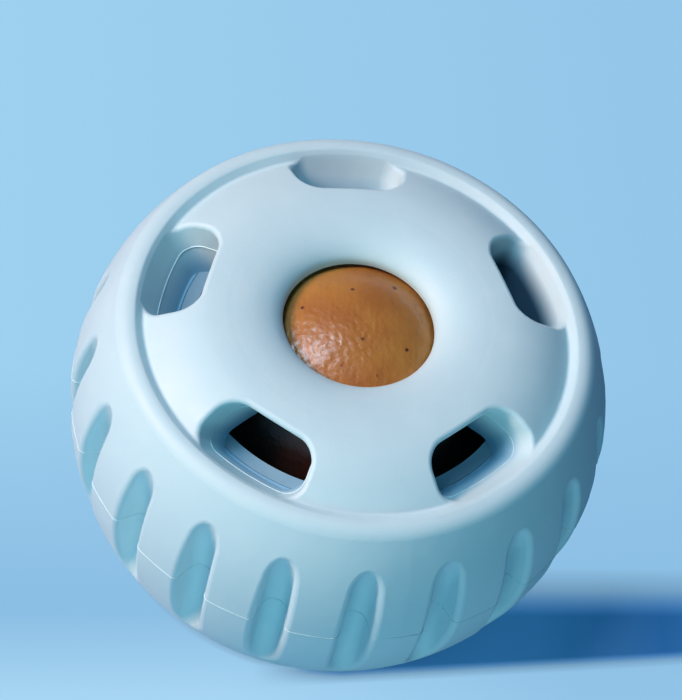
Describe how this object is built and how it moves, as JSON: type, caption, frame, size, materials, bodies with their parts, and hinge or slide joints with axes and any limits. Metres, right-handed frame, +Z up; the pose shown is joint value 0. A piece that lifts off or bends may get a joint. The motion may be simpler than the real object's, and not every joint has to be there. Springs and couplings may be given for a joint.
{
  "type": "treat dispensing dog toy",
  "caption": "Round two-part rubber toy that screws together round a treat ball, with a lick hole and windows in each face and grip notches across the seam.",
  "frame": {"origin": "centre of the flat ring on the lower dome on which the toy lies", "axes": "+Z up along the toy's round axis, -Y through the middle of one window in each face"},
  "size_m": [0.0936, 0.0936, 0.0564],
  "materials": {
    "rubber": "matte moulded rubber, pale blue",
    "insert": "moulded nylon, pale blue",
    "treat": "moist caramel-brown treat"
  },
  "bodies": {
    "lower_half": {"lower_shell": "rubber", "lower_thread_ring": "insert"},
    "treat": {"treat_ball": "treat"},
    "upper_half": {"upper_shell": "rubber", "upper_thread_ring": "insert"}
  },
  "joints": [
    {"name": "upper_half_turn", "type": "hinge", "parent": "lower_half", "child": "treat", "pos_m": [0, 0, 0.0282], "axis": [0, 0, 1], "range_deg": [0, 300]},
    {"name": "upper_half_lift", "type": "slide", "parent": "treat", "child": "upper_half", "axis": [0, 0, 1], "range_m": [0, 0.01]}
  ],
  "couplings": [
    {"joint": "upper_half_lift", "follows": "upper_half_turn", "m_per_rad": 0.0019098}
  ]
}
